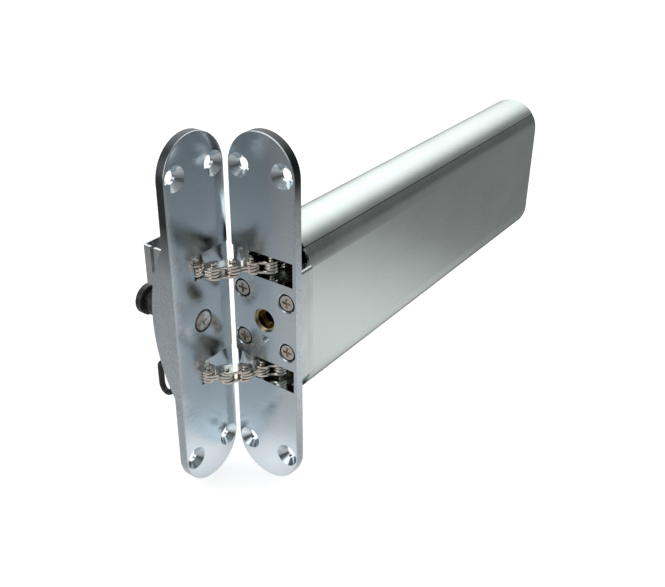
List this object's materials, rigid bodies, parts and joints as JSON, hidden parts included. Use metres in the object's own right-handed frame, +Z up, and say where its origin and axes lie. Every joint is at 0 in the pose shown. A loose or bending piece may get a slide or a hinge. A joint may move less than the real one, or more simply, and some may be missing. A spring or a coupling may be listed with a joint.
{
  "type": "concealed chain door closer",
  "caption": "Concealed door closer: door plate with a flat spring and damper body, joined to a frame anchor plate by two leaf chains that pull the door shut.",
  "frame": {"origin": "Centre of the door plate's front face, on the axis of the body.", "axes": "+X runs across the door plate, away from the anchor plate; +Y runs along the body into the door; +Z is up. The anchor stands at a right angle, with its face towards +X, as when the door is open."},
  "size_m": [0.0742, 0.2687, 0.168],
  "materials": {
    "plate": "satin nickel or chrome plate, finely brushed",
    "screw": "polished nickel plate",
    "casting": "plated zinc casting, satin",
    "tube": "zinc-plated drawn steel, satin",
    "chain": "nickel-plated steel, warm",
    "machined": "turned or milled steel, oiled",
    "spring": "oil-tempered spring steel",
    "brass": "turned brass",
    "seal": "matte",
    "black": "black oxide",
    "sheet": "zinc-plated sheet"
  },
  "bodies": {
    "closer": {"face_plate": "plate", "plate_screws": "screw", "front_head": "casting", "body_tube": "tube", "end_cap": "casting", "damper_cylinder": "machined", "damper_gland": "brass", "gland_seal": "seal", "upper_spring": "spring", "lower_spring": "spring"},
    "power_screw": {"power_adjuster": "brass", "adjuster_clip": "machined"},
    "preload": {"preload_plate": "machined"},
    "crosshead": {"crosshead": "machined", "piston_rod": "machined", "piston": "machined", "piston_ring": "seal"},
    "speed_screw": {"speed_screw": "screw"},
    "anchor": {"anchor_plate": "plate", "anchor_pins": "chain", "upper_end_link": "chain", "upper_end_pin": "chain", "lower_end_link": "chain", "lower_end_pin": "chain", "chain_clip": "sheet", "wire_hook": "black"},
    "anchor_adjuster": {"anchor_screw": "screw", "spool_nut": "black"},
    "upper_link_1": {"upper_link_1": "chain"},
    "upper_link_2": {"upper_link_2": "chain", "upper_pins_2": "chain"},
    "upper_link_3": {"upper_link_3": "chain"},
    "upper_link_4": {"upper_link_4": "chain", "upper_pins_4": "chain"},
    "upper_link_5": {"upper_link_5": "chain"},
    "upper_rod": {"upper_draw_rod": "chain", "upper_rod_pin": "chain", "upper_rod_nut": "chain"},
    "lower_link_1": {"lower_link_1": "chain"},
    "lower_link_2": {"lower_link_2": "chain", "lower_pins_2": "chain"},
    "lower_link_3": {"lower_link_3": "chain"},
    "lower_link_4": {"lower_link_4": "chain", "lower_pins_4": "chain"},
    "lower_link_5": {"lower_link_5": "chain"},
    "lower_rod": {"lower_draw_rod": "chain", "lower_rod_pin": "chain", "lower_rod_nut": "chain"}
  },
  "joints": [
    {"name": "anchor_swing", "type": "hinge", "parent": "closer", "child": "anchor", "pos_m": [-0.0165, 0.0013, 0], "axis": [0, 0, 1], "range_deg": [-15, 90]},
    {"name": "upper_link_1_turn", "type": "hinge", "parent": "anchor", "child": "upper_link_1", "pos_m": [-0.0234, -0.0156, 0.02475], "axis": [0, 0, 1], "range_deg": [-15.2, 2.7]},
    {"name": "upper_link_2_turn", "type": "hinge", "parent": "upper_link_1", "child": "upper_link_2", "pos_m": [-0.01535, -0.01359, 0.02475], "axis": [0, 0, 1], "range_deg": [-49.2, 8.37]},
    {"name": "upper_link_3_turn", "type": "hinge", "parent": "upper_link_2", "child": "upper_link_3", "pos_m": [-0.01047, -0.00688, 0.02475], "axis": [0, 0, 1], "range_deg": [-2.87, 16.2]},
    {"name": "upper_link_4_turn", "type": "hinge", "parent": "upper_link_3", "child": "upper_link_4", "pos_m": [-0.00607, 0.00016, 0.02475], "axis": [0, 0, 1], "range_deg": [-2.7, 15.2]},
    {"name": "upper_link_5_turn", "type": "hinge", "parent": "upper_link_4", "child": "upper_link_5", "pos_m": [0.00029, 0.0055, 0.02475], "axis": [0, 0, 1], "range_deg": [-71.2, 12.03]},
    {"name": "upper_rod_turn", "type": "hinge", "parent": "upper_link_5", "child": "upper_rod", "pos_m": [-0.00115, 0.01367, 0.02475], "axis": [0, 0, 1], "range_deg": [-2.78, 15.7]},
    {"name": "lower_link_1_turn", "type": "hinge", "parent": "anchor", "child": "lower_link_1", "pos_m": [-0.0203, -0.0156, -0.02715], "axis": [0, 0, 1], "range_deg": [-26.2, 4.53]},
    {"name": "lower_link_2_turn", "type": "hinge", "parent": "lower_link_1", "child": "lower_link_2", "pos_m": [-0.01311, -0.01145, -0.02715], "axis": [0, 0, 1], "range_deg": [-20.2, 3.53]},
    {"name": "lower_link_3_turn", "type": "hinge", "parent": "lower_link_2", "child": "lower_link_3", "pos_m": [-0.00789, -0.005, -0.02715], "axis": [0, 0, 1], "range_deg": [-21.2, 3.7]},
    {"name": "lower_link_4_turn", "type": "hinge", "parent": "lower_link_3", "child": "lower_link_4", "pos_m": [-0.00412, 0.0024, -0.02715], "axis": [0, 0, 1], "range_deg": [-4.87, 28.2]},
    {"name": "lower_link_5_turn", "type": "hinge", "parent": "lower_link_4", "child": "lower_link_5", "pos_m": [0.00175, 0.00826, -0.02715], "axis": [0, 0, 1], "range_deg": [-77.2, 13.03]},
    {"name": "lower_rod_turn", "type": "hinge", "parent": "lower_link_5", "child": "lower_rod", "pos_m": [-0.00109, 0.01606, -0.02715], "axis": [0, 0, 1], "range_deg": [-4.53, 26.2]},
    {"name": "crosshead_slide", "type": "slide", "parent": "closer", "child": "crosshead", "axis": [0, 1, 0], "range_m": [-0.00353, 0.02086], "deforming": ["upper_spring", "lower_spring"]},
    {"name": "power_adjust", "type": "hinge", "parent": "closer", "child": "power_screw", "pos_m": [0, 0.007, 0], "axis": [0, 1, 0], "range_deg": [-181, 181]},
    {"name": "preload_slide", "type": "slide", "parent": "closer", "child": "preload", "axis": [0, 1, 0], "range_m": [-0.0005, 0.0005], "deforming": ["upper_spring", "lower_spring"]},
    {"name": "speed_adjust", "type": "hinge", "parent": "closer", "child": "speed_screw", "pos_m": [0.0003, 0.003, -0.0092], "axis": [0, 1, 0], "range_deg": [-180, 180]},
    {"name": "anchor_adjust", "type": "hinge", "parent": "anchor", "child": "anchor_adjuster", "pos_m": [-0.024, -0.0157, 0], "axis": [1, 0, 0], "range_deg": [-180, 180]}
  ],
  "couplings": [
    {"joint": "upper_link_1_turn", "follows": "anchor_swing", "ratio": -0.16667},
    {"joint": "upper_link_2_turn", "follows": "anchor_swing", "ratio": -0.54444},
    {"joint": "upper_link_3_turn", "follows": "anchor_swing", "ratio": 0.17778},
    {"joint": "upper_link_4_turn", "follows": "anchor_swing", "ratio": 0.16667},
    {"joint": "upper_link_5_turn", "follows": "anchor_swing", "ratio": -0.78889},
    {"joint": "upper_rod_turn", "follows": "anchor_swing", "ratio": 0.17222},
    {"joint": "lower_link_1_turn", "follows": "anchor_swing", "ratio": -0.28889},
    {"joint": "lower_link_2_turn", "follows": "anchor_swing", "ratio": -0.22222},
    {"joint": "lower_link_3_turn", "follows": "anchor_swing", "ratio": -0.23333},
    {"joint": "lower_link_4_turn", "follows": "anchor_swing", "ratio": 0.31111},
    {"joint": "lower_link_5_turn", "follows": "anchor_swing", "ratio": -0.85556},
    {"joint": "lower_rod_turn", "follows": "anchor_swing", "ratio": 0.28889},
    {"joint": "crosshead_slide", "follows": "anchor_swing", "m_per_rad": 0.013242},
    {"joint": "power_adjust", "follows": "preload_slide", "rad_per_m": 6283.2}
  ]
}
